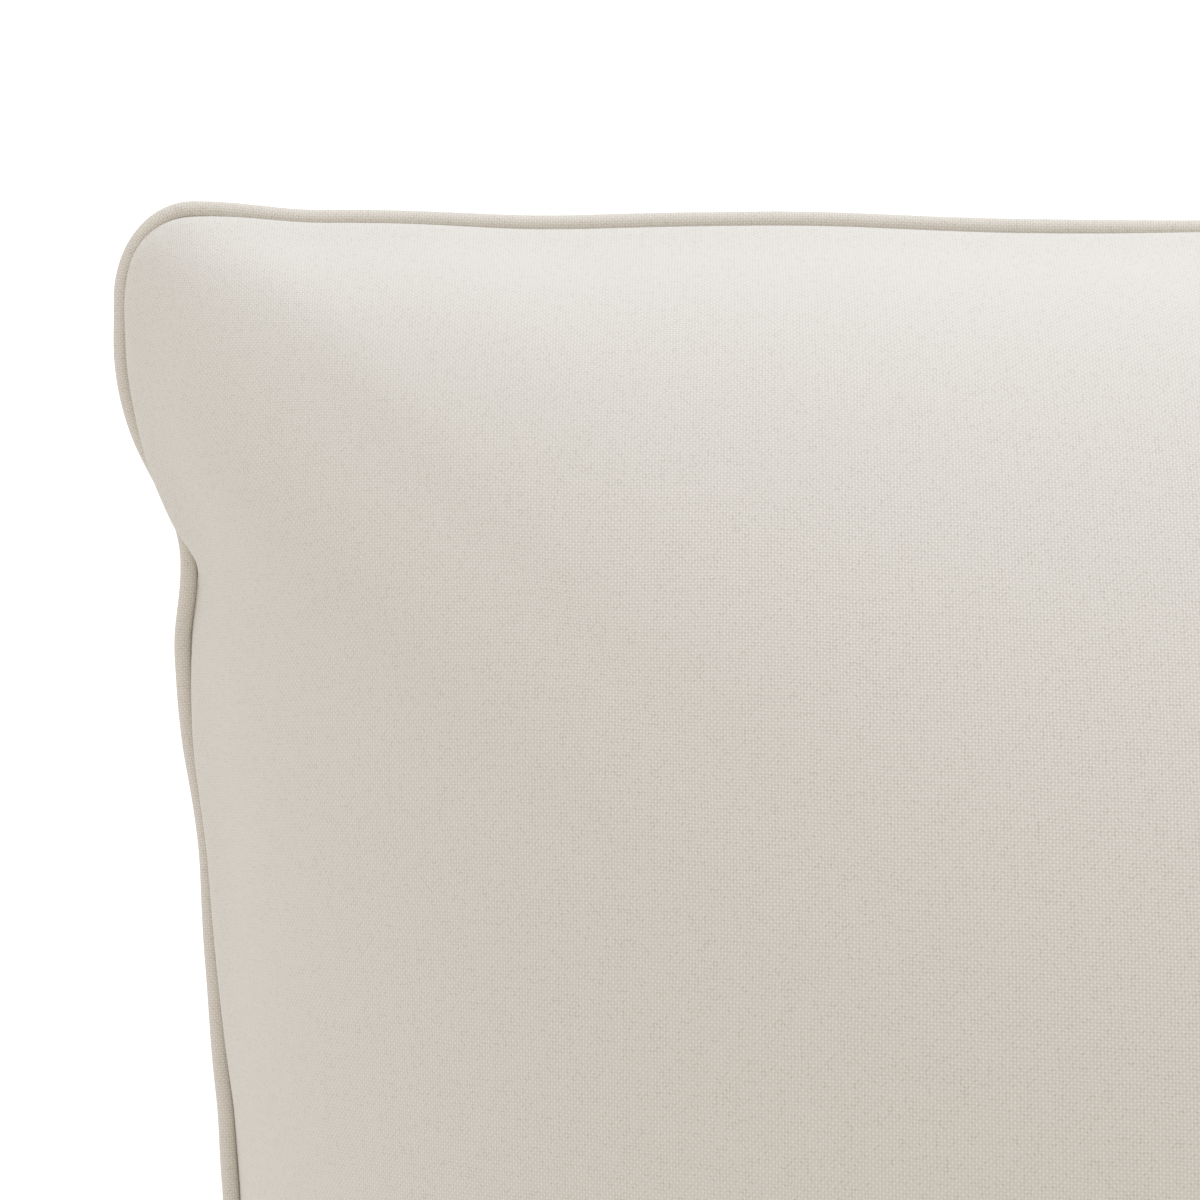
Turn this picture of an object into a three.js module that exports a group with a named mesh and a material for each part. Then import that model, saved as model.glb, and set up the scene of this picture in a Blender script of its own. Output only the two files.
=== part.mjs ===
// Back cushion: a knife-edge cushion. A front and a back panel of plain-weave cloth are sewn
// together round a full filling, with a piping of the same cloth caught in the seam all round.
// Millimetres, +Z up. The cushion lies on its back, front face up, its top edge towards +Y.
// The origin is on the floor, under the middle of the cushion.

import * as THREE from 'three';

// Finished size over the piping, and the fullness to each side of the seam.
const WIDTH = 609;
const HEIGHT = 560;
const FRONT_CROWN = 160;
const BACK_CROWN = 105; // from the seam to the floor that presses the back flat
const BACK_SPARE = 7; // how much further the back would bulge with no floor under it
const EAR_DROOP = 5; // how far the seam sinks towards each corner

// The piping, and how much of the width and of the height its bend round a corner takes up,
// measured to the middle of the piping.
const PIPING_DIAMETER = 5;
const CORNER = [19.7, 24.5];
const SEAM_GAP = 0.3; // between the piping and the edge of the panels

// How a panel swells from the seam to its crown. A higher power makes a flatter crown, and a
// root under 1 makes the panel leave the seam upright, as tightly filled cloth does.
const FRONT_SWELL = { power: 1.9, root: 0.58 };
const BACK_SWELL = { power: 3, root: 0.5 };
const RIM_POWER = 30; // a higher power brings the swelling down to the seam in a shorter way

// The filling draws each side of the seam in between its two corners, and leaves the corners
// standing out as ears. From an ear's tip the side steps in by `step`, beginning `stepFrom` from
// the side's middle and spread over `stepLength`. Then it bows in by `bow` more at its middle.
// Where an ear ends, the side is pinched in by `pinch` more.
const SIDES = [
  { name: 'right', step: 17, stepFrom: 240, stepLength: 92, bow: 13.4, bowReach: 145, pinch: 6.6 },
  { name: 'top', step: 2.5, stepFrom: 281, stepLength: 34, bow: 3.1, bowReach: 250, pinch: 0 },
  { name: 'left', step: 17.6, stepFrom: 241, stepLength: 94, bow: 14, bowReach: 143, pinch: 7 },
  { name: 'bottom', step: 2.8, stepFrom: 280, stepLength: 34, bow: 3.4, bowReach: 240, pinch: 0 },
];
const PINCH_PLACE = 187.5; // from the side's middle
const PINCH_WIDTH = 22.5;
const DRAW_FADE = 3; // how fast the drawing-in dies away from the seam towards the crown

// Small waves left in the seam, `at` a place along the side from its middle, counted
// anticlockwise, standing `out` from the line of the side and about `width` wide.
const WAVES = [
  { side: 'top', at: 109, out: 1.1, width: 35 },
  { side: 'top', at: 187, out: -1.2, width: 28 },
  { side: 'top', at: -130, out: 0.8, width: 30 },
  { side: 'left', at: -156, out: 1.0, width: 11 },
  { side: 'left', at: -103, out: -3.4, width: 28 },
  { side: 'left', at: -39, out: 1.2, width: 17 },
  { side: 'left', at: -12, out: 1.2, width: 16 },
  { side: 'left', at: 45, out: 1.0, width: 24 },
  { side: 'left', at: 110, out: -2.2, width: 30 },
  { side: 'bottom', at: -120, out: 0.9, width: 28 },
  { side: 'bottom', at: 165, out: -0.8, width: 24 },
  { side: 'right', at: 155, out: 1.0, width: 12 },
  { side: 'right', at: 100, out: -2.6, width: 30 },
  { side: 'right', at: 30, out: 1.2, width: 26 },
  { side: 'right', at: -48, out: 0.9, width: 22 },
  { side: 'right', at: -106, out: -2.8, width: 28 },
];

// Facets: steps along one side and round one corner, rings on one panel, sides of the piping.
const SIDE_STEPS = 40;
const CORNER_STEPS = 6;
const PANEL_RINGS = 8;
const PIPING_SIDES = 8;

const QUARTER_TURN = Math.PI / 2;

// How far the seam lies in from the straight line of a side, `along` from the side's middle.
function drawnIn({ name, step, stepFrom, stepLength, bow, bowReach, pinch }, along) {
  const distance = Math.abs(along);
  const stepped = step * THREE.MathUtils.smoothstep(stepFrom - distance, 0, stepLength);
  const bowed = bow * Math.cos(QUARTER_TURN * Math.min(1, distance / bowReach)) ** 2;
  const pinched = pinch * Math.exp(-(((distance - PINCH_PLACE) / PINCH_WIDTH) ** 2));
  const waves = WAVES.filter((wave) => wave.side === name)
    .reduce((sum, { at, out, width }) => sum + out * Math.exp(-(((along - at) / width) ** 2)), 0);
  return stepped + bowed + pinched - waves;
}

// The seam, followed along the middle of the piping, anticlockwise from the lower end of the
// right side. Each of its places has the point itself, how far and which way it is drawn in, and
// where it would lie undrawn, as shares of the half width and of the half height.
function seamPlaces() {
  const reach = [WIDTH / 2 - PIPING_DIAMETER / 2, HEIGHT / 2 - PIPING_DIAMETER / 2];
  return SIDES.flatMap((side, turn) => {
    const out = new THREE.Vector3(Math.cos(turn * QUARTER_TURN), Math.sin(turn * QUARTER_TURN), 0);
    const along = new THREE.Vector3(-out.y, out.x, 0);
    const away = reach[turn % 2];
    const [cornerDepth, cornerLength] = [CORNER[turn % 2], CORNER[(turn + 1) % 2]];
    const half = reach[(turn + 1) % 2] - cornerLength;
    const place = (outward, sideways, inward) => {
      const whole = out.clone().multiplyScalar(outward).addScaledVector(along, sideways);
      const across = Math.abs(whole.x) / reach[0];
      const up = Math.abs(whole.y) / reach[1];
      const drawn = out.clone().multiplyScalar(-inward);
      const point = whole.clone().add(drawn);
      point.z = BACK_CROWN - EAR_DROOP * (across * up) ** 4;
      return { point, drawn, across, up };
    };
    const straight = Array.from({ length: SIDE_STEPS }, (_, i) => {
      const sideways = half * ((2 * i) / SIDE_STEPS - 1);
      return place(away, sideways, drawnIn(side, sideways));
    });
    const bend = Array.from({ length: CORNER_STEPS }, (_, i) => {
      const angle = (QUARTER_TURN * i) / CORNER_STEPS;
      const outward = away - cornerDepth * (1 - Math.cos(angle));
      return place(outward, half + cornerLength * Math.sin(angle), 0);
    });
    return [...straight, ...bend];
  });
}

// Height of a panel over the seam, from 0 at the seam to 1 at its crown, at `share` of the way
// from the crown to a place of the seam. The width's swelling and the height's hold each other
// down, so a corner is thinner than a side.
function swell(share, { across, up }, { power, root }) {
  const widthways = Math.max(0, 1 - (across * share) ** power) ** root;
  const upwards = Math.max(0, 1 - (up * share) ** power) ** root;
  const both = widthways * upwards;
  return (both / (widthways + upwards - both)) * Math.sqrt(1 - share ** RIM_POWER);
}

// The edge of the panels: the seam moved inwards, at right angles to itself, clear of the piping.
function panelEdge(seam) {
  const inset = PIPING_DIAMETER / 2 + SEAM_GAP;
  return seam.map(({ point }, i) => {
    const before = seam.at(i - 1).point;
    const after = seam[(i + 1) % seam.length].point;
    const inwards = new THREE.Vector3(before.y - after.y, after.x - before.x, 0).normalize();
    return point.clone().addScaledVector(inwards, inset);
  });
}

// The filled body, a sphere whose equator is laid on the edge of the panels and whose two poles
// are the crowns. The floor stops the back at its own height, which leaves it flat in the middle.
function cushionGeometry(seam) {
  const edge = panelEdge(seam);
  const columns = seam.length;
  const rows = 2 * PANEL_RINGS;
  const geometry = new THREE.SphereGeometry(1, columns, rows);
  for (let row = 0; row <= rows; row++) {
    const share = row === PANEL_RINGS ? 1 : Math.sin((Math.PI * row) / rows);
    for (let column = 0; column <= columns; column++) {
      const place = seam[column % columns];
      const outermost = edge[column % columns];
      const spot = outermost.clone().addScaledVector(place.drawn, share ** DRAW_FADE - 1);
      const height = row <= PANEL_RINGS
        ? FRONT_CROWN * swell(share, place, FRONT_SWELL)
        : -(BACK_CROWN + BACK_SPARE) * swell(share, place, BACK_SWELL);
      const droop = (outermost.z - BACK_CROWN) * share ** 2;
      spot.set(spot.x * share, spot.y * share, Math.max(0, BACK_CROWN + height + droop));
      geometry.attributes.position.setXYZ(row * (columns + 1) + column, spot.x, spot.y, spot.z);
    }
  }
  geometry.computeVertexNormals();
  return geometry;
}

// The piping, a closed tube on the seam. Its steps fall on the seam's own places, which stand
// closer together round the corners, and aren't evened out by length.
function pipingGeometry(seam) {
  const path = new THREE.CatmullRomCurve3(seam.map(({ point }) => point), true);
  path.getUtoTmapping = (u) => u;
  return new THREE.TubeGeometry(path, seam.length, PIPING_DIAMETER / 2, PIPING_SIDES, true);
}

const seam = seamPlaces();

const panelCloth = new THREE.MeshStandardMaterial({ color: 0xe0dbd2, roughness: 0.92, metalness: 0 });
const cushion = new THREE.Mesh(cushionGeometry(seam), panelCloth);
cushion.name = 'cushion';

const pipingCloth = new THREE.MeshStandardMaterial({ color: 0xd2cabd, roughness: 0.92, metalness: 0 });
const piping = new THREE.Mesh(pipingGeometry(seam), pipingCloth);
piping.name = 'piping';

const backCushion = new THREE.Group();
backCushion.add(cushion, piping);

// The waves let one side reach a little further than the other, so the whole is centred.
const middle = new THREE.Box3().setFromObject(backCushion).getCenter(new THREE.Vector3());
for (const piece of backCushion.children) piece.position.set(-middle.x, -middle.y, 0);

export default backCushion;
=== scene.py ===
# %% [markdown]
# # A full back cushion with a piped seam
# The real cushion is two panels of off-white plain weave. They are sewn together face to face,
# with a piping caught in the seam, and turned right side out over a generous filling. The
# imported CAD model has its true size. This lesson gives it its cloth: the pull of the filling,
# the seam, the piping and the threads.

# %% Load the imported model
import math

import bpy
import numpy as np
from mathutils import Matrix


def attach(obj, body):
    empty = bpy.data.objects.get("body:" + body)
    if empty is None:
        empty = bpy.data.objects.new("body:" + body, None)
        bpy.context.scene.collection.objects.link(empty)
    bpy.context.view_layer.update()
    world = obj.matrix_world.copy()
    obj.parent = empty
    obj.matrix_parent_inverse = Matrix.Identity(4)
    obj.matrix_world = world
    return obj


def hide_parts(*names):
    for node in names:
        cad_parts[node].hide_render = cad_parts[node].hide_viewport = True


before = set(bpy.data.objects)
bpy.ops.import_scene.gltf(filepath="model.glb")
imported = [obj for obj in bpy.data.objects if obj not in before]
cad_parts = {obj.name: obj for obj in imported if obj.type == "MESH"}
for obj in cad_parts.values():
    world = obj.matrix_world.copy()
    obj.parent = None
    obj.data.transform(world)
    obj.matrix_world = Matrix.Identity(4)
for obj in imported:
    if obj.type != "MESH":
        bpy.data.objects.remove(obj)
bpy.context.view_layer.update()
print("CAD nodes:", sorted(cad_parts))

# %% [markdown]
# ## Colours and nodes
# Paint charts and screens give colours as sRGB hex values, while the shaders work in linear
# light, so one function turns the one into the other. A second one adds a node. Its settings,
# its values and its links are given in one call, which keeps each material short to read.

# %% Two helpers for materials


def linear(hex_value):
    """The linear colour of an sRGB hex value such as "#DCD7CF"."""
    shares = [int(hex_value[start:start + 2], 16) / 255 for start in (1, 3, 5)]
    return [c / 12.92 if c <= 0.04045 else ((c + 0.055) / 1.055) ** 2.4 for c in shares] + [1.0]


def add_node(tree, kind, inputs=None, **settings):
    """Adds a node. An input is given a value, an output to link, or a node for its first output."""
    made = tree.nodes.new(kind)
    for name, value in settings.items():
        setattr(made, name, value)
    for socket, value in (inputs or {}).items():
        if isinstance(value, bpy.types.Node):
            value = value.outputs[0]
        if isinstance(value, bpy.types.NodeSocket):
            tree.links.new(value, made.inputs[socket])
        else:
            made.inputs[socket].default_value = value
    return made


print("off-white in linear light:", [round(c, 3) for c in linear("#DCD7CF")])

# %% [markdown]
# ## Camera
# The cushion lies on its back, and the camera looks straight down on one quarter of its face, so
# the frame shows a corner at the upper left and has the crown at its lower right corner.
# Threads look about a tenth wider apart on the crown than at the seam, which sets how near the
# camera is. A long lens does the rest, with no shift.

# %% Camera over the upper left quarter
MM = 0.001
SEAM_HEIGHT = 105 * MM
FRAME_WIDTH = 336 * MM  # what the frame spans at the height of the seam
CAMERA_DISTANCE = 1.5  # from the height of the seam
CAMERA_PLACE = (-168 * MM, 168 * MM)
SENSOR_WIDTH = 36  # in millimetres, as the length of the lens is

camera_data = bpy.data.cameras.new("camera")
camera_data.sensor_width = SENSOR_WIDTH
camera_data.lens = SENSOR_WIDTH * CAMERA_DISTANCE / FRAME_WIDTH
camera = bpy.data.objects.new("camera", camera_data)
camera.location = (*CAMERA_PLACE, SEAM_HEIGHT + CAMERA_DISTANCE)
bpy.context.collection.objects.link(camera)
bpy.context.scene.camera = camera
print("lens in millimetres:", round(camera_data.lens, 1))

# %% [markdown]
# ## Studio
# The light is that of a bright white studio. It comes evenly from all round, and a low, slightly
# cool softbox beyond the top edge lifts the slope that faces it. A much weaker one, down on the
# left, keeps the left edge from going dull.

# %% Even light from all round
SURROUND = "#E9E4DF"

scene = bpy.context.scene
scene.view_settings.view_transform = "Standard"
scene.view_settings.look = "None"
world = bpy.data.worlds.new("white_studio")
world.use_nodes = True
background = world.node_tree.nodes["Background"]
background.inputs["Color"].default_value = linear(SURROUND)
background.inputs["Strength"].default_value = 1.0
scene.world = world
print("surround in linear light:", [round(c, 3) for c in linear(SURROUND)])

# %% Softboxes
DAYLIGHT = "#DBE8FA"
SOFTBOX_DISTANCE = 1.4


def add_softbox(name, width, tall, turn, height, energy):
    """An upright softbox. Its turn is in degrees, from straight beyond the top edge to the right."""
    data = bpy.data.lights.new(name, "AREA")
    data.shape = "RECTANGLE"
    data.size = width
    data.size_y = tall
    data.color = linear(DAYLIGHT)[:3]
    data.energy = energy
    softbox = bpy.data.objects.new(name, data)
    turn = math.radians(turn)
    softbox.location = (SOFTBOX_DISTANCE * math.sin(turn), SOFTBOX_DISTANCE * math.cos(turn), height)
    softbox.rotation_euler = (-math.pi / 2, 0, -turn)
    softbox.visible_camera = False
    bpy.context.collection.objects.link(softbox)


add_softbox("main_softbox", width=3.0, tall=0.16, turn=19, height=0.28, energy=13.3)
add_softbox("fill_softbox", width=1.6, tall=0.4, turn=-120, height=0.05, energy=1.9)
print("softboxes:", [light.name for light in bpy.data.lights])

# %% [markdown]
# The floor is a pale acrylic sheet lit from below, as on a light table, so it reads as white right
# up to the cushion. It neither lights the cushion nor keeps light from it, which leaves the lower
# half as soft in tone as the upper.

# %% Floor
FLOOR_REACH = 6.0
FLOOR_GREY = "#C8C8C8"
FLOOR_ROUGHNESS = 0.8
FLOOR_GLOW = 0.8

floor_sheet = bpy.data.materials.new("lit_white_acrylic")
floor_sheet.use_nodes = True
floor_shader = floor_sheet.node_tree.nodes["Principled BSDF"]
floor_shader.inputs["Base Color"].default_value = linear(FLOOR_GREY)
floor_shader.inputs["Roughness"].default_value = FLOOR_ROUGHNESS
floor_shader.inputs["Emission Color"].default_value = (1, 1, 1, 1)
floor_shader.inputs["Emission Strength"].default_value = FLOOR_GLOW

floor_mesh = bpy.data.meshes.new("floor")
corners = [(-1, -1), (1, -1), (1, 1), (-1, 1)]
floor_mesh.from_pydata([(x * FLOOR_REACH, y * FLOOR_REACH, 0) for x, y in corners], [], [(0, 1, 2, 3)])
floor_mesh.materials.append(floor_sheet)
floor = bpy.data.objects.new("floor", floor_mesh)
floor.visible_diffuse = False
floor.visible_shadow = False
bpy.context.collection.objects.link(floor)
print("floor", 2 * FLOOR_REACH, "m wide")

# %% [markdown]
# ## Seam line
# All of the cushion hangs on its seam. On the bench it would be a rectangle with rounded
# corners. The filling then pulls each side in and leaves the corners standing out as ears. The
# sizes below are those that the CAD solids were made with, so the cloth lands where they are.

# %% How far each side is drawn in
WIDTH = 609 * MM
HEIGHT = 560 * MM
PIPING_RADIUS = 2.5 * MM
CORNER = np.array([19.7, 24.5]) * MM  # how much of the width and of the height a corner takes
EAR_DROOP = 5 * MM
# In millimetres, by distance from the side's middle: a step in from the ears, a bow towards the
# middle, and a pinch where the ear ends.
SIDES = [
    {"name": "right", "step": 17.0, "step_from": 240, "step_length": 92,
     "bow": 13.4, "bow_reach": 145, "pinch": 6.6},
    {"name": "top", "step": 2.5, "step_from": 281, "step_length": 34,
     "bow": 3.1, "bow_reach": 250, "pinch": 0},
    {"name": "left", "step": 17.6, "step_from": 241, "step_length": 94,
     "bow": 14.0, "bow_reach": 143, "pinch": 7.0},
    {"name": "bottom", "step": 2.8, "step_from": 280, "step_length": 34,
     "bow": 3.4, "bow_reach": 240, "pinch": 0},
]
PINCH_PLACE = 187.5
PINCH_WIDTH = 22.5
# Small waves in the seam: where along the side, how far they stand out, how wide they are.
WAVES = {
    "right": [(155, 1.0, 12), (100, -2.6, 30), (30, 1.2, 26), (-106, -2.8, 28), (-48, 0.9, 22)],
    "top": [(109, 1.1, 35), (187, -1.2, 28), (-130, 0.8, 30)],
    "left": [(-156, 1.0, 11), (-103, -3.4, 28), (-39, 1.2, 17), (-12, 1.2, 16), (110, -2.2, 30),
             (45, 1.0, 24)],
    "bottom": [(-120, 0.9, 28), (165, -0.8, 24)],
}


def humps(table, along):
    """The sum of smooth humps, each given by its place, height and width in millimetres."""
    return sum(height * np.exp(-(((along - at) / width) ** 2)) for at, height, width in table)


def drawn_in(side, along):
    """How far a side is drawn in, in millimetres, `along` from its middle."""
    distance = np.abs(along)
    rise = np.clip((side["step_from"] - distance) / side["step_length"], 0, 1)
    stepped = side["step"] * rise**2 * (3 - 2 * rise)
    bowed = side["bow"] * np.cos(math.pi / 2 * np.minimum(1, distance / side["bow_reach"])) ** 2
    pinched = side["pinch"] * np.exp(-(((distance - PINCH_PLACE) / PINCH_WIDTH) ** 2))
    return stepped + bowed + pinched - humps(WAVES[side["name"]], along)


for side in SIDES:
    inward = drawn_in(side, np.zeros(1))[0]
    print(side["name"], "side's middle is drawn in by", round(float(inward), 1), "mm")

# %% [markdown]
# The seam is now followed all round in small steps. Each place keeps where it would lie undrawn,
# how far the pull has moved it, and which way is out, so that the panels can be hung on it.

# %% Places along the seam
REACH = np.array([WIDTH / 2 - PIPING_RADIUS, HEIGHT / 2 - PIPING_RADIUS])
SIDE_STEPS = 360
CORNER_STEPS = 48


def places_along(turn):
    """Evenly spaced places along the straight part of a side, from its middle, in metres."""
    half = REACH[(turn + 1) % 2] - CORNER[(turn + 1) % 2]
    return half * (2 * np.arange(SIDE_STEPS) / SIDE_STEPS - 1)


def follow_seam():
    """The places of the seam, anticlockwise from the lower end of the right side."""
    undrawn, drawn = [], []
    for turn, side in enumerate(SIDES):
        out = np.array([(1, 0), (0, 1), (-1, 0), (0, -1)][turn])
        ahead = np.array([-out[1], out[0]])
        away = REACH[turn % 2]
        along = places_along(turn)
        undrawn.append(out * away + ahead * along[:, None])
        drawn.append(-out * drawn_in(side, along / MM)[:, None] * MM)
        angle = math.pi / 2 * np.arange(CORNER_STEPS) / CORNER_STEPS
        outward = away - CORNER[turn % 2] * (1 - np.cos(angle))
        sideways = -along[0] + CORNER[(turn + 1) % 2] * np.sin(angle)
        undrawn.append(out * outward[:, None] + ahead * sideways[:, None])
        drawn.append(np.zeros((CORNER_STEPS, 2)))
    undrawn, drawn = np.concatenate(undrawn), np.concatenate(drawn)
    share = np.abs(undrawn) / REACH
    place = undrawn + drawn
    forward = np.roll(place, -1, axis=0) - np.roll(place, 1, axis=0)
    out = np.stack([forward[:, 1], -forward[:, 0]], axis=1)
    return {
        "undrawn": undrawn,
        "drawn": drawn,
        "place": place,
        "out": out / np.linalg.norm(out, axis=1)[:, None],
        "share": share,
        "height": SEAM_HEIGHT - EAR_DROOP * (share[:, 0] * share[:, 1]) ** 4,
        "bearing": np.arctan2(undrawn[:, 1], undrawn[:, 0]),
    }


seam = follow_seam()
seam_length = np.linalg.norm(np.roll(seam["place"], -1, axis=0) - seam["place"], axis=1).sum()
print("seam length in metres:", round(float(seam_length), 3))

# %% [markdown]
# ## Panels
# A panel is a rectangle of cloth, so it is modelled as a square grid of quads, not as rings: its
# rows and columns then run as the threads do, and there is no pole at the crown. The grid is
# finer towards the seam, where the cloth turns down steeply. The height over the seam comes from
# how far out a point is, across and up, so the middle is crowned and the corners stay thin.

# %% Grid of one panel
COLUMNS = 108
ROWS = 98
EDGE_INSET = 2.1 * MM  # from the middle of the piping, just inside its round
DRAW_FADE = 3
RIM_POWER = 30
# Both crowns are a little low, because the filling's pressure adds to them.
FRONT_CROWN = 157 * MM
BACK_CROWN = 104 * MM
FRONT_SWELL = {"power": 1.9, "root": 0.58}
BACK_SWELL = {"power": 3, "root": 0.5}
EVEN_SHARE = 0.08  # keeps the outermost rows of the grid from growing too narrow
TINY = 1e-9  # stands in for a zero that something is divided by


def spacing(count):
    """Grid lines from -1 to 1, closer together towards both ends."""
    even = np.linspace(-1, 1, count + 1)
    return EVEN_SHARE * even + (1 - EVEN_SHARE) * np.sin(math.pi / 2 * even)


def on_seam(bearing, values):
    """Looks up a value that is known along the seam, by the bearing from the middle."""
    order = np.argsort(seam["bearing"])
    return np.interp(bearing, seam["bearing"][order], values[order], period=2 * math.pi)


across, up = np.meshgrid(spacing(COLUMNS), spacing(ROWS), indexing="ij")
share_out = np.maximum(np.abs(across), np.abs(up))
bearing = np.arctan2(up * REACH[1], across * REACH[0])
seam_out = np.stack([on_seam(bearing, seam["out"][:, axis]) for axis in (0, 1)], axis=-1)
seam_height = on_seam(bearing, seam["height"])


def panel_grid(crown, power, root):
    """The points of one panel over its grid. A negative crown hangs below the seam."""
    points = np.zeros(across.shape + (3,))
    held = []
    for axis in (0, 1):
        straight = on_seam(bearing, seam["undrawn"][:, axis])
        pulled = on_seam(bearing, seam["drawn"][:, axis])
        inset = seam_out[..., axis] * EDGE_INSET
        points[..., axis] = (straight - inset + pulled * share_out**DRAW_FADE) * share_out
        place = on_seam(bearing, seam["share"][:, axis]) * share_out
        held.append(np.maximum(0, 1 - place**power) ** root)
    both = held[0] * held[1]
    swell = both / np.maximum(held[0] + held[1] - both, TINY)
    rim = np.sqrt(np.maximum(0, 1 - share_out**RIM_POWER))
    droop = (seam_height - SEAM_HEIGHT) * share_out**2
    points[..., 2] = SEAM_HEIGHT + crown * swell * rim + droop
    return points


front = panel_grid(FRONT_CROWN, **FRONT_SWELL)
back = panel_grid(-BACK_CROWN, **BACK_SWELL)
print("crowns in mm:", round(front[..., 2].max() / MM, 1), round(back[..., 2].min() / MM, 1))

# %% Sew the two panels into one closed mesh


def sew(front_points, back_points):
    """One closed mesh of both panels, which share the points on their edge."""
    columns, rows = front_points.shape[0], front_points.shape[1]
    front_number = np.arange(columns * rows).reshape(columns, rows)
    edge = np.zeros((columns, rows), bool)
    edge[[0, -1], :] = True
    edge[:, [0, -1]] = True
    back_number = front_number.copy()
    back_number[~edge] = columns * rows + np.arange((~edge).sum())
    points = np.concatenate([front_points.reshape(-1, 3), back_points[~edge]])
    faces = []
    for number, turned in ((front_number, False), (back_number, True)):
        quads = np.stack([number[:-1, :-1], number[1:, :-1], number[1:, 1:], number[:-1, 1:]], axis=-1)
        faces.append(quads[..., ::-1].reshape(-1, 4) if turned else quads.reshape(-1, 4))
    mesh = bpy.data.meshes.new("filled_cover")
    mesh.from_pydata(points.tolist(), [], np.concatenate(faces).tolist())
    mesh.update()
    return mesh, front_number, back_number, edge


cover_mesh, front_number, back_number, edge = sew(front, back)
cover = bpy.data.objects.new("filled_cover", cover_mesh)
bpy.context.collection.objects.link(cover)
print("cover:", len(cover_mesh.vertices), "points,", len(cover_mesh.polygons), "quads")

# %% [markdown]
# ## The filling's pressure
# The filling pushes the cloth out evenly while the seam holds it. That is what Cloth with pressure
# does, so it is run here with the seam pinned and no gravity, for twenty frames. A cap on how far
# a point may move keeps the cushion at its real size, whatever the solver does. The grid is
# squeezed towards the corners, where the solver leaves creases that a real cushion doesn't have,
# so the movement is evened out over the panel before it is used.

# %% Swell the cover by simulation
PRESSURE = 30.0
LAST_FRAME = 20
MOST_SWELL = 10 * MM
EVENINGS = 80
STIFF_COTTON = {
    "quality": 6,
    "mass": 0.3,
    "tension_stiffness": 15,
    "compression_stiffness": 5,
    "shear_stiffness": 5,
    "bending_stiffness": 0.05,
}


def swell_cover(piece, pinned):
    """Runs Cloth with pressure on a mesh, and returns how far each point has moved, capped."""
    group = piece.vertex_groups.new(name="seam")
    group.add([int(number) for number in pinned], 1.0, "REPLACE")
    cloth = piece.modifiers.new("filling", "CLOTH")
    for setting, value in STIFF_COTTON.items():
        setattr(cloth.settings, setting, value)
    cloth.settings.use_pressure = True
    cloth.settings.uniform_pressure_force = PRESSURE
    cloth.settings.vertex_group_mass = group.name
    cloth.settings.effector_weights.gravity = 0
    cloth.collision_settings.use_collision = False
    cloth.point_cache.frame_start = 1
    cloth.point_cache.frame_end = LAST_FRAME
    before = np.zeros(len(piece.data.vertices) * 3)
    piece.data.vertices.foreach_get("co", before)
    for number in range(1, LAST_FRAME + 1):
        scene.frame_set(number)
    swollen = piece.evaluated_get(bpy.context.evaluated_depsgraph_get()).data
    after = np.zeros_like(before)
    swollen.vertices.foreach_get("co", after)
    piece.modifiers.remove(cloth)
    scene.frame_set(1)
    moved = (after - before).reshape(-1, 3)
    length = np.maximum(np.linalg.norm(moved, axis=1), TINY)
    print("cloth moved, in mm: median", round(float(np.median(length)) / MM, 1),
          "most", round(float(length.max()) / MM, 1))
    return moved * (MOST_SWELL * np.tanh(length / MOST_SWELL) / length)[:, None]


def evened(grid):
    """Evens out a movement over a panel, and leaves the seam as it is."""
    grid = grid.copy()
    for _ in range(EVENINGS):
        beside = grid[2:, 1:-1] + grid[:-2, 1:-1] + grid[1:-1, 2:] + grid[1:-1, :-2]
        grid[1:-1, 1:-1] = grid[1:-1, 1:-1] / 2 + beside / 8
    return grid


moved = np.zeros((len(cover_mesh.vertices), 3))
moved = swell_cover(cover, front_number[edge])
front = front + evened(moved[front_number])
back = back + evened(moved[back_number])
crowns = [round(float(height) / MM, 1) for height in (front[..., 2].max(), back[..., 2].min())]
print("crowns after swelling, in mm:", crowns)

# %% [markdown]
# ## Where the panel rolls over the piping
# A full panel doesn't stop at the piping. It rolls out over it, a few millimetres in most places,
# and wholly where an ear meets the drawn-in side, because the cloth has nowhere else to go there.
# In the middle of the left and the right side, which are drawn in most, it stays clear of it. A
# smooth bulge, largest a few millimetres above the seam, gives this on both faces.

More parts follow.
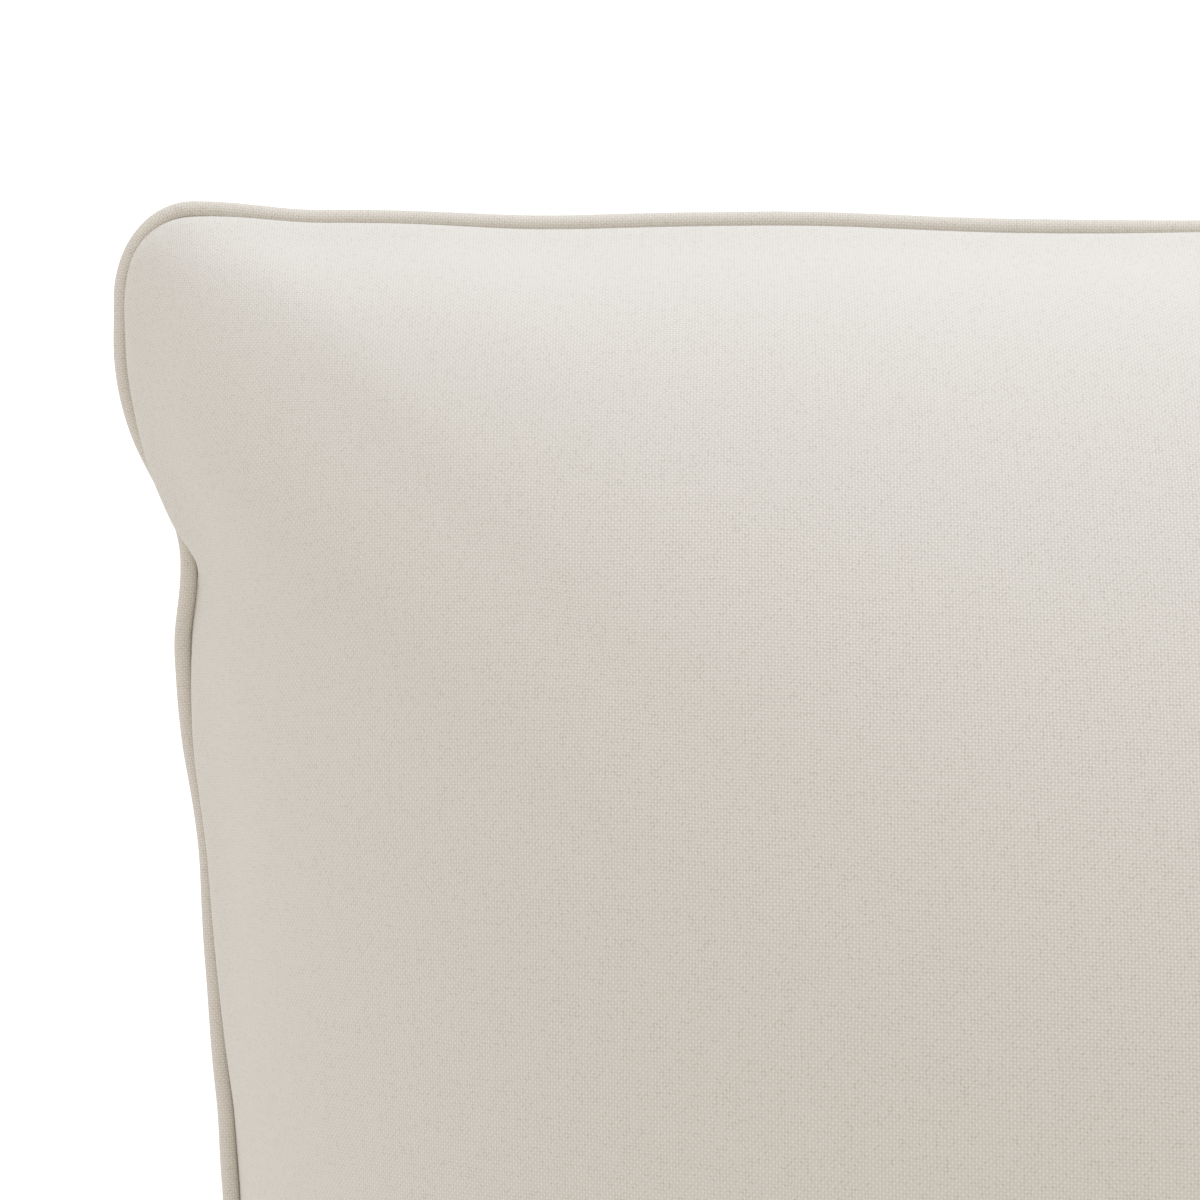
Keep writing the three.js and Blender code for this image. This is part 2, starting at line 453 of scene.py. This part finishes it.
# %% Roll of the panels over the piping
# Along a side from its middle, anticlockwise: where, and how far out, in millimetres. A number
# below 0 draws the panel in.
FRONT_ROLL = {
    "right": [(-252, 4.0), (-222, 3.6), (-206, 5.8), (-198, 6.5), (-189, 6.3), (-185, 4.4),
              (-180, 0.0), (-172, -0.35), (-160, 0.8), (-140, 2.2), (-105, 3.6), (-60, 2.2),
              (-10, 0.2), (40, 1.6), (90, 3.2), (130, 2.6), (160, 0.9), (172, -0.2), (179, 0.1),
              (184, 4.2), (189, 6.2), (198, 6.5), (207, 5.6), (222, 3.6), (252, 4.2)],
    "top": [(-281, 2.7), (-265, 3.0), (-180, 2.6), (-60, 3.0), (0, 3.4), (28, 2.75), (56, 2.6), (98, 2.8),
            (168, 2.8), (196, 2.75), (224, 3.15), (252, 3.15), (265, 3.0), (281, 2.65)],
    "left": [(-252, 4.4), (-247, 4.0), (-243, 3.8), (-230, 3.4), (-222, 3.4), (-213, 4.4), (-206, 5.8),
             (-200, 6.5), (-194, 6.6), (-188, 6.4), (-185, 4.2), (-179.5, -0.2), (-175, -0.35),
             (-168, -0.15), (-161, 0.35), (-154, 1.3), (-140, 2.4), (-129, 3.3), (-112, 4.0),
             (-95, 3.75), (-67, 2.85), (-56, 2.45), (-42, 1.7), (-28, 0.85), (-14, -0.25), (0, -0.35),
             (20, 0.2), (40, 1.2), (90, 3.0), (130, 2.4), (158, 0.8), (172, -0.2), (180, 0.2),
             (185, 4.6), (190, 6.3), (198, 6.5), (207, 5.8), (220, 3.6), (243, 3.7), (252, 4.1)],
    "bottom": [(-281, 2.9), (-200, 2.5), (-90, 3.1), (40, 2.6), (110, 3.0), (200, 2.6), (281, 2.9)],
}
BACK_ROLL_SHARE = 0.5
ROLL_HEIGHT = 7 * MM
ROLL_SHARPNESS = 2.5  # a higher power keeps the roll clear of the top of the piping
ROLL_BLEND = 2  # steps of the seam over which the table's straight lines are rounded
# Round a corner the piping shows more: by how much at most, where as a share of the way round
# from the top or bottom side, and over how wide a share.
CORNER_SHOW = 0.72 * MM
CORNER_SHOW_PLACE = 0.38
CORNER_SHOW_WIDTH = 0.22


def roll_amounts(table):
    """How far the panel rolls out at each place of the seam."""
    amounts = []
    for turn, side in enumerate(SIDES):
        where, out = np.array(table[side["name"]]).T * MM
        amounts.append(np.interp(places_along(turn), where, out))
        after = table[SIDES[(turn + 1) % 4]["name"]]
        way_round = np.arange(CORNER_STEPS) / CORNER_STEPS
        from_level = way_round if turn % 2 else 1 - way_round
        less = CORNER_SHOW * np.exp(-(((from_level - CORNER_SHOW_PLACE) / CORNER_SHOW_WIDTH) ** 2))
        amounts.append(np.linspace(out[-1], after[0][1] * MM, CORNER_STEPS) - less)
    amounts = np.concatenate(amounts)
    steps = np.arange(-3 * ROLL_BLEND, 3 * ROLL_BLEND + 1)
    weights = np.exp(-((steps / ROLL_BLEND) ** 2))
    return sum(np.roll(amounts, step) * weight for step, weight in zip(steps, weights)) / weights.sum()


def roll_over(points, amounts):
    """Moves a panel outwards, most at ROLL_HEIGHT from its seam, or inwards, most at the seam."""
    rise = np.abs(points[..., 2] - seam_height) / ROLL_HEIGHT
    amount = on_seam(bearing, amounts)
    bulge = (rise * np.exp(1 - rise)) ** ROLL_SHARPNESS
    out = amount * np.where(amount > 0, bulge, np.exp(-rise))
    points = points.copy()
    points[..., :2] += seam_out * out[..., None]
    return points


roll = roll_amounts(FRONT_ROLL)
front = roll_over(front, roll)
back = roll_over(back, roll * BACK_ROLL_SHARE)
print("largest roll:", round(float(roll.max()) / MM, 1), "mm")

# %% [markdown]
# ## Resting on the floor
# The floor stops the back panel at its own height. A hard stop would leave a sharp rim, so the
# last few millimetres above the floor are eased in, which gives a flat patch with a soft edge.

# %% Press the back flat
EASE = 4 * MM
low = back[..., 2]
eased = (np.clip(low, -EASE, EASE) + EASE) ** 2 / (4 * EASE)
back[..., 2] = np.where(low > EASE, low, eased)
print("points that lie flat:", int((back[..., 2] == 0).sum()))

# %% [markdown]
# ## Where the threads run
# Threads keep their spacing along the cloth, so the UV map is made of lengths of cloth in metres:
# U is how far a point is from the middle column along its own row, and V how far it is from the
# middle row along its own column. Seen from the front, the threads then crowd together where the
# panel turns away. Towards the sides the seam also gathers them a little, and no weave is quite
# square, so it is sheared by a couple of degrees.

# %% Thread coordinates of a panel
SIDE_GATHER = 0.07
TOP_GATHER = 0.045
ALONG_SIDE_GATHER = 0.10
WEAVE_SHEAR = 0.04


def lengths_along(points, axis):
    """Length of cloth along the grid lines of one direction, from the middle line."""
    steps = np.linalg.norm(np.diff(points, axis=axis), axis=-1)
    start = np.zeros_like(np.take(steps, [0], axis=axis))
    length = np.concatenate([start, np.cumsum(steps, axis=axis)], axis=axis)
    return length - np.take(length, [points.shape[axis] // 2], axis=axis)


def thread_places(points):
    """U and V of every point of a panel's grid, in metres of cloth."""
    u = lengths_along(points, 0) * (1 + SIDE_GATHER * across**2 + TOP_GATHER * up**2)
    v = lengths_along(points, 1) * (1 + ALONG_SIDE_GATHER * np.abs(across) ** 3)
    return np.stack([u, v + WEAVE_SHEAR * u], axis=-1)


def lay_threads(mesh, front_points, back_points):
    """Writes the thread coordinates of both panels into the mesh's UV map."""
    quads = []
    for place, turned in ((thread_places(front_points), False), (thread_places(back_points), True)):
        corners = np.stack([place[:-1, :-1], place[1:, :-1], place[1:, 1:], place[:-1, 1:]], axis=2)
        quads.append(corners[:, :, ::-1] if turned else corners)
    values = np.concatenate([quad.reshape(-1, 2) for quad in quads])
    layer = mesh.uv_layers.new(name="threads")
    layer.data.foreach_set("uv", values.ravel())


points = np.zeros((len(cover_mesh.vertices), 3))
points[back_number] = back
points[front_number] = front
cover_mesh.vertices.foreach_set("co", points.ravel())
lay_threads(cover_mesh, front, back)
middle_row = lengths_along(front, 0)[:, ROWS // 2]
middle_column = lengths_along(front, 1)[COLUMNS // 2]
front_size = [round(float(np.ptp(line)) / MM) for line in (middle_row, middle_column)]
print("cloth over the front, in mm:", front_size)

# %% [markdown]
# Where the cloth is pulled flat over the crown, small gaps open between its threads. Where the
# seam gathers it they close again, and the weave looks smoother. This is kept as a number on each
# This is kept as a number on each point, for the material to read: the painted shade of the gaps shows
# more where the weave is open.

# %% How open the weave is
CROWN_OPENNESS = 0.82
SIDE_OPENNESS = 0.52  # at the seam, on the left and the right
TOP_OPENNESS = 0.28  # at the seam, at the middle of the top and the bottom
OPENING_START = 0.2  # as a share of the crown's height
OPENING_LENGTH = 0.55


def openness(points):
    """How open the weave is at each point of a panel's grid, from 0 to 1."""
    rise = np.abs(points[..., 2] - SEAM_HEIGHT) / FRONT_CROWN
    share = np.clip((rise - OPENING_START) / OPENING_LENGTH, 0, 1)
    at_seam = TOP_OPENNESS + (SIDE_OPENNESS - TOP_OPENNESS) * across**2
    return at_seam + (CROWN_OPENNESS - at_seam) * share**2 * (3 - 2 * share)


open_values = np.zeros(len(points))
open_values[back_number] = openness(back)
open_values[front_number] = openness(front)
cover_mesh.attributes.new("openness", "FLOAT", "POINT").data.foreach_set("value", open_values)
cover_mesh.update()
print("openness from", round(open_values.min(), 2), "to", round(open_values.max(), 2))

# %% [markdown]
# ## Smooth finish of the cover
# One level of subdivision rounds the quads off. The seam is creased, so that it stays a fold.

# %% Subdivide the cover
cover.vertex_groups.clear()
seam_numbers = set(front_number[edge].tolist())
crease = cover_mesh.attributes.new("crease_edge", "FLOAT", "EDGE")
for line in cover_mesh.edges:
    if line.vertices[0] in seam_numbers and line.vertices[1] in seam_numbers:
        crease.data[line.index].value = 1.0
finer = cover.modifiers.new("finer", "SUBSURF")
finer.levels = 1
finer.render_levels = 1
evaluated = cover.evaluated_get(bpy.context.evaluated_depsgraph_get())
finished = bpy.data.meshes.new_from_object(evaluated)
cover.modifiers.remove(finer)
cover.data = finished
finished.name = "filled_cover"
bpy.data.meshes.remove(cover_mesh)
finished.shade_smooth()
print("cover:", len(finished.polygons), "quads, UV maps:", [layer.name for layer in finished.uv_layers])

# %% [markdown]
# ## Piping
# Piping is a strip of the same cloth, wrapped round a thin cord and caught in the seam. Its
# threads run along and across it. It follows a path, so Geometry Nodes make it: the seam is the
# path, and a circle is swept along it. The strip's two ends meet at the bottom edge, as they do on
# a real cushion, where the join is least seen. A cord isn't quite even, so the strip swells and
# narrows by up to a tenth of a millimetre.

# %% Path of the piping
JOIN_GAP = 0.15 * MM
bottom_middle = int(np.argmin(np.abs(seam["bearing"] + math.pi / 2)))
order = np.roll(np.arange(len(seam["place"])), -bottom_middle)
path = np.column_stack([seam["place"][order], seam["height"][order]])
meeting = path[0] + (path[-1] - path[0]) / np.linalg.norm(path[-1] - path[0]) * JOIN_GAP
path = np.vstack([path, meeting])
path_data = bpy.data.curves.new("seam_path", "CURVE")
path_data.dimensions = "3D"
spline = path_data.splines.new("POLY")
spline.points.add(len(path) - 1)
spline.points.foreach_set("co", np.column_stack([path, np.ones(len(path))]).ravel())
piping = bpy.data.objects.new("seam_piping", path_data)
bpy.context.collection.objects.link(piping)
print("path of", len(path), "points")

# %% Node tree that sweeps the piping
LUMP_SCALE = 60.0  # lumps a centimetre or two apart


def piping_tree():
    """Sweeps a round, slightly uneven strip along a path, and keeps where each point lies on it."""
    tree = bpy.data.node_groups.new("piping_strip", "GeometryNodeTree")
    face = tree.interface
    face.new_socket("Geometry", in_out="INPUT", socket_type="NodeSocketGeometry")
    sizes = {"Radius": "Float", "Sides": "Int", "Unevenness": "Float", "Cloth": "Material"}
    for name, kind in sizes.items():
        face.new_socket(name, in_out="INPUT", socket_type="NodeSocket" + kind)
    face.new_socket("Geometry", in_out="OUTPUT", socket_type="NodeSocketGeometry")
    given = add_node(tree, "NodeGroupInput").outputs
    upright = add_node(tree, "GeometryNodeSetCurveNormal", {"Curve": given["Geometry"]}, mode="Z_UP")
    along = add_node(tree, "GeometryNodeSplineParameter").outputs
    kept = add_node(
        tree, "GeometryNodeStoreNamedAttribute",
        {"Geometry": upright, "Name": "along", "Value": along["Length"]}, domain="POINT")
    circle = add_node(
        tree, "GeometryNodeCurvePrimitiveCircle",
        {"Resolution": given["Sides"], "Radius": given["Radius"]}, mode="RADIUS")
    # The circle is turned so that the strip's edges meet on the inner side, where they are sewn in.
    turned = add_node(tree, "GeometryNodeTransform", {"Geometry": circle, "Rotation": (0, 0, math.pi)})
    around = add_node(
        tree, "GeometryNodeStoreNamedAttribute",
        {"Geometry": turned, "Name": "around", "Value": along["Factor"]}, domain="POINT")
    tube = add_node(
        tree, "GeometryNodeCurveToMesh", {"Curve": kept, "Profile Curve": around, "Fill Caps": True})
    lumps = add_node(tree, "ShaderNodeTexNoise", {"Scale": LUMP_SCALE, "Detail": 1.0})
    centred = add_node(tree, "ShaderNodeMath", {0: lumps, 1: 0.5}, operation="SUBTRACT")
    amount = add_node(tree, "ShaderNodeMath", {0: centred, 1: given["Unevenness"]}, operation="MULTIPLY")
    normal = add_node(tree, "GeometryNodeInputNormal")
    offset = add_node(tree, "ShaderNodeVectorMath", {0: normal, "Scale": amount}, operation="SCALE")
    uneven = add_node(tree, "GeometryNodeSetPosition", {"Geometry": tube, "Offset": offset})
    smooth = add_node(tree, "GeometryNodeSetShadeSmooth", {"Geometry": uneven})
    real = add_node(tree, "GeometryNodeRealizeInstances", {"Geometry": smooth})
    clothed = add_node(
        tree, "GeometryNodeSetMaterial", {"Geometry": real, "Material": given["Cloth"]})
    add_node(tree, "NodeGroupOutput", {"Geometry": clothed})
    return tree


strip = piping_tree()
print("piping tree:", len(strip.nodes), "nodes")

# %% [markdown]
# ## Plain weave
# The cloth is a heavy plain weave of cotton and linen in a warm off-white, about eleven threads to
# the centimetre. Each thread passes over one and under the next, which leaves a bead at every
# crossing and a pinhole between four of them. Cosines of the thread coordinates give just that:
# squared, they are the ridges of the two sets of threads, and multiplied together they say which
# set is on top.

# %% Threads
THREAD_SPACING = 0.89 * MM
PIPING_THREAD_SPACING = 0.75 * MM  # the strip is eased round the cord, so its threads sit closer
STRAY = 0.8  # the most that a thread strays from one side to the other, in threads
STRAY_SCALE = 0.11  # one bend in about nine threads
MATH = "ShaderNodeMath"
VECTOR_MATH = "ShaderNodeVectorMath"


def thread_numbers(tree, spacing):
    """Counts the warp and the weft threads, which stray a little, as no thread lies quite straight."""
    place = add_node(tree, "ShaderNodeUVMap", uv_map="threads")
    counted = add_node(tree, "ShaderNodeMapping", {"Vector": place, "Scale": [1 / spacing] * 3})
    wander = add_node(tree, "ShaderNodeTexNoise", {"Vector": counted, "Scale": STRAY_SCALE, "Detail": 2.0})
    centred = add_node(
        tree, VECTOR_MATH, {0: wander.outputs["Color"], 1: (0.5, 0.5, 0.5)}, operation="SUBTRACT")
    strayed = add_node(
        tree, VECTOR_MATH, {0: centred, 1: (STRAY, STRAY, 0.0), 2: counted}, operation="MULTIPLY_ADD")
    return add_node(tree, "ShaderNodeSeparateXYZ", {0: strayed}).outputs[:2]


def thread_ridges(tree, numbers):
    """The ridges of the warp and of the weft, and how far the warp is over the weft, from -1 to 1."""
    waves = []
    ridges = []
    for number in numbers:
        angle = add_node(tree, MATH, {0: number, 1: math.pi}, operation="MULTIPLY")
        waves.append(add_node(tree, MATH, {0: angle}, operation="COSINE"))
        ridges.append(add_node(tree, MATH, {0: waves[-1], 1: waves[-1]}, operation="MULTIPLY"))
    over = add_node(tree, MATH, {0: waves[0], 1: waves[1]}, operation="MULTIPLY")
    return ridges, over


print("threads to the centimetre:", round(10 * MM / THREAD_SPACING, 1))

# %% [markdown]
# The upper of two crossing threads stands out and the lower one dips under it. Threads also differ
# a little in thickness along their length, as spun yarn does: each has its own line through a
# noise, along which it changes slowly.

# %% Relief of the weave
THREAD_RELIEF = 0.08 * MM
CROSSING_RISE = 0.5  # of the upper thread over the lower, as a share of a ridge
CROSSING_ROUNDNESS = 0.3  # of the dip where one thread goes under another
CROSSING_BLEND = 0.3  # how softly the one thread's thickness gives way to the other's
RIDGE_SHARE = 0.8  # what the ridges and crossings count for in the relief
SLUB_SHARE = 0.5  # what the yarn's thickness counts for
SLUB_LINES_APART = 5.3  # in the noise, so that neighbouring threads have nothing in common
SLUB_PACE = 0.06  # thicker and thinner about every seventeen threads
WARP_SEED = 0.0
WEFT_SEED = 9.0


def slubs(tree, number, along, seed):
    """The thickness of each thread of one set, which changes slowly along it."""
    thread = add_node(tree, MATH, {0: number}, operation="ROUND")
    apart = add_node(tree, MATH, {0: thread, 1: SLUB_LINES_APART}, operation="MULTIPLY")
    slowly = add_node(tree, MATH, {0: along, 1: SLUB_PACE}, operation="MULTIPLY")
    spot = add_node(tree, "ShaderNodeCombineXYZ", {0: apart, 1: slowly, 2: seed})
    return add_node(tree, "ShaderNodeTexNoise", {"Vector": spot, "Scale": 1.0, "Detail": 2.0}).outputs[0]


def weave_relief(tree, numbers, ridges, over):
    """How high the cloth stands, from its gaps to its crossings."""
    warp = add_node(tree, MATH, {0: over, 1: CROSSING_RISE, 2: ridges[0]}, operation="MULTIPLY_ADD")
    weft = add_node(tree, MATH, {0: over, 1: -CROSSING_RISE, 2: ridges[1]}, operation="MULTIPLY_ADD")
    height = add_node(tree, MATH, {0: warp, 1: weft, 2: CROSSING_ROUNDNESS}, operation="SMOOTH_MAX")
    lead = add_node(tree, MATH, {0: warp, 1: weft}, operation="SUBTRACT")
    blend = {"Value": lead, "From Min": -CROSSING_BLEND, "From Max": CROSSING_BLEND}
    warp_on_top = add_node(tree, "ShaderNodeMapRange", blend)
    warp_slubs = slubs(tree, numbers[0], numbers[1], WARP_SEED)
    weft_slubs = slubs(tree, numbers[1], numbers[0], WEFT_SEED)
    mixed = {"Factor": warp_on_top, "A": weft_slubs, "B": warp_slubs}
    thickness = add_node(tree, "ShaderNodeMix", mixed, data_type="FLOAT")
    full = add_node(tree, MATH, {0: height, 1: RIDGE_SHARE}, operation="MULTIPLY")
    return add_node(tree, MATH, {0: thickness, 1: SLUB_SHARE, 2: full}, operation="MULTIPLY_ADD")


print("relief of the weave in mm:", round(THREAD_RELIEF / MM, 2))

# %% [markdown]
# Gaps are painted darker than yarn, as painted shade in the hollows between threads, and the more so the
# more open the weave is. Now and then a pinhole between four threads is painted darker still, as deeper
# painted shade. The warp is a shade lighter than the weft, so the beads make a fine chequer.

# %% Tone of the weave
MEAN_DEPTH = 0.7  # share of yarn in the mean tone, so a tight weave is as light as an open one
GAP_RELIEF = 0.2  # the relief at which a point is all gap
YARN_RELIEF = 1.2  # the relief at which it is all yarn
PINHOLE_RARITY = 5.0  # a higher power leaves fewer of them dark
RIDGE_CHEQUER = 0.4  # what the ridges count for in the chequer, beside the crossings


def gap_shade_colour(tree, numbers, gap_shade_hex, pinhole_shade_hex):
    """The painted shade of the gaps, each with its own chance of being a darker painted pinhole."""
    corners = [add_node(tree, MATH, {0: number}, operation="FLOOR") for number in numbers]
    hole = add_node(tree, "ShaderNodeCombineXYZ", {0: corners[0], 1: corners[1]})
    chance = add_node(tree, "ShaderNodeTexWhiteNoise", {"Vector": hole}, noise_dimensions="2D")
    seldom = add_node(tree, MATH, {0: chance, 1: PINHOLE_RARITY}, operation="POWER")
    mixed = {"Factor": seldom, "A": linear(gap_shade_hex), "B": linear(pinhole_shade_hex)}
    return add_node(tree, "ShaderNodeMix", mixed, data_type="RGBA").outputs["Result"]


def yarn_colour(tree, ridges, over, warp_hex, weft_hex):
    """The colour of the yarn: the warp's where it is on top, and the weft's elsewhere."""
    chequer = add_node(tree, MATH, {0: ridges[0], 1: ridges[1]}, operation="SUBTRACT")
    chequered = add_node(tree, MATH, {0: chequer, 1: RIDGE_CHEQUER, 2: over}, operation="MULTIPLY_ADD")
    between = {"Value": chequered, "From Min": -1.0, "From Max": 1.0}
    warpwards = add_node(tree, "ShaderNodeMapRange", between)
    mixed = {"Factor": warpwards, "A": linear(weft_hex), "B": linear(warp_hex)}
    return add_node(tree, "ShaderNodeMix", mixed, data_type="RGBA").outputs["Result"]


def yarn_share(tree, relief):
    """How much of a point is yarn and not painted gap shade, less marked where the weave is drawn tight.
    """
    deep = add_node(
        tree, "ShaderNodeMapRange", {"Value": relief, "From Min": GAP_RELIEF, "From Max": YARN_RELIEF})
    openness = add_node(tree, "ShaderNodeAttribute", attribute_name="openness").outputs["Fac"]
    mixed = {"Factor": openness, "A": MEAN_DEPTH, "B": deep}
    return add_node(tree, "ShaderNodeMix", mixed, data_type="FLOAT").outputs[0]


print("share of yarn in the mean tone:", MEAN_DEPTH)

# %% [markdown]
# Spun cotton and linen are matte. Their fine fuzz gives a faint sheen where the cloth turns away.

# %% Woven cloth, for the panels and for the piping
COTTON_FINISH = {
    "Roughness": 0.9,
    "Specular IOR Level": 0.25,
    "Sheen Weight": 0.08,
    "Sheen Roughness": 0.5,
}
PANEL_HEXES = {"warp_hex": "#EBE8E1", "weft_hex": "#DEDBD4"}
# The gap colours are painted shade in the hollows between the threads.
PANEL_GAP_SHADE_HEXES = {"gap_shade_hex": "#D0CCC3", "pinhole_shade_hex": "#B9B3A7"}
# The strip of the piping is the same cloth, a little warmer and darker with the painted shade of its
# crease.
STRIP_SHADED_HEXES = {"warp_hex": "#EAE5DC", "weft_hex": "#DDD8CF"}
STRIP_SHADED_GAP_HEXES = {"gap_shade_hex": "#CFC9BE", "pinhole_shade_hex": "#B8B0A2"}


def woven_cloth(name, spacing, yarn_hexes, gap_shade_hexes):
    """A plain weave over the UV map "threads", which is in metres of cloth."""
    material = bpy.data.materials.new(name)
    material.use_nodes = True
    tree = material.node_tree
    shader = tree.nodes["Principled BSDF"]
    numbers = thread_numbers(tree, spacing)
    ridges, over = thread_ridges(tree, numbers)
    relief = weave_relief(tree, numbers, ridges, over)
    gap = gap_shade_colour(tree, numbers, **gap_shade_hexes)
    yarn = yarn_colour(tree, ridges, over, **yarn_hexes)
    share = yarn_share(tree, relief)
    # The painted shade of the gaps shows between the yarn, by the yarn's share of each point.
    colour = add_node(tree, "ShaderNodeMix", {"Factor": share, "A": gap, "B": yarn}, data_type="RGBA")
    bump = add_node(tree, "ShaderNodeBump", {"Height": relief, "Distance": THREAD_RELIEF, "Strength": 1.0})
    tree.links.new(colour.outputs["Result"], shader.inputs["Base Color"])
    tree.links.new(bump.outputs[0], shader.inputs["Normal"])
    for socket, value in COTTON_FINISH.items():
        shader.inputs[socket].default_value = value
    return material


panel_weave = woven_cloth("cotton_linen_plain_weave", THREAD_SPACING, PANEL_HEXES, PANEL_GAP_SHADE_HEXES)
# Painted shade: the piping's strip is given warmer, darker colours for the crease it lies in.
shaded_piping_weave = woven_cloth("plain_weave_piping_strip_shaded", PIPING_THREAD_SPACING, STRIP_SHADED_HEXES, STRIP_SHADED_GAP_HEXES)
print("nodes in the weave:", len(panel_weave.node_tree.nodes))

# %% Sweep the piping
PIPING_SIDES = 24
UNEVENNESS = 0.2 * MM  # of the radius, from the narrowest place to the widest


def set_inputs(modifier, values):
    """Gives a Geometry Nodes modifier its inputs, found by name and set by identifier."""
    for item in modifier.node_group.interface.items_tree:
        if item.item_type == "SOCKET" and item.in_out == "INPUT" and item.name in values:
            modifier[item.identifier] = values[item.name]


sweep = piping.modifiers.new("sweep", "NODES")
sweep.node_group = strip
set_inputs(sweep, {
    "Radius": PIPING_RADIUS, "Sides": PIPING_SIDES, "Unevenness": UNEVENNESS, "Cloth": shaded_piping_weave})
evaluated = piping.evaluated_get(bpy.context.evaluated_depsgraph_get())
swept = bpy.data.meshes.new_from_object(evaluated)
bpy.data.objects.remove(piping)
piping = bpy.data.objects.new("seam_piping", swept)
bpy.context.collection.objects.link(piping)
print("piping:", len(swept.polygons), "faces, materials", [m.name for m in swept.materials])

# %% Unroll the cloth of the piping


def unroll(mesh):
    """Lays a UV map in metres on the piping: along the seam, and round the cord."""
    along = np.zeros(len(mesh.vertices))
    around = np.zeros(len(mesh.vertices))
    mesh.attributes["along"].data.foreach_get("value", along)
    mesh.attributes["around"].data.foreach_get("value", around)
    corner = np.zeros(len(mesh.loops), int)
    mesh.loops.foreach_get("vertex_index", corner)
    u, v = along[corner], around[corner]
    # A face where the round closes has corners near 0 and near 1. Those near 0 go one round on.
    for face in mesh.polygons:
        span = slice(face.loop_start, face.loop_start + face.loop_total)
        if np.ptp(v[span]) > 0.5:
            v[span] = np.where(v[span] < 0.5, v[span] + 1, v[span])
    layer = mesh.uv_layers.new(name="threads")
    layer.data.foreach_set("uv", np.column_stack([u, v * 2 * math.pi * PIPING_RADIUS]).ravel())
    fully_open = np.ones(len(mesh.vertices))
    mesh.attributes.new("openness", "FLOAT", "POINT").data.foreach_set("value", fully_open)
    return along.max()


print("strip unrolled over", round(float(unroll(swept)), 3), "m")

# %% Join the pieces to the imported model
finished.materials.clear()
finished.materials.append(panel_weave)
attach(cover, "root")
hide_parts("cushion")
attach(piping, "root")
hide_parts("piping")
print("pieces:", [piece.name for piece in (cover, piping)])
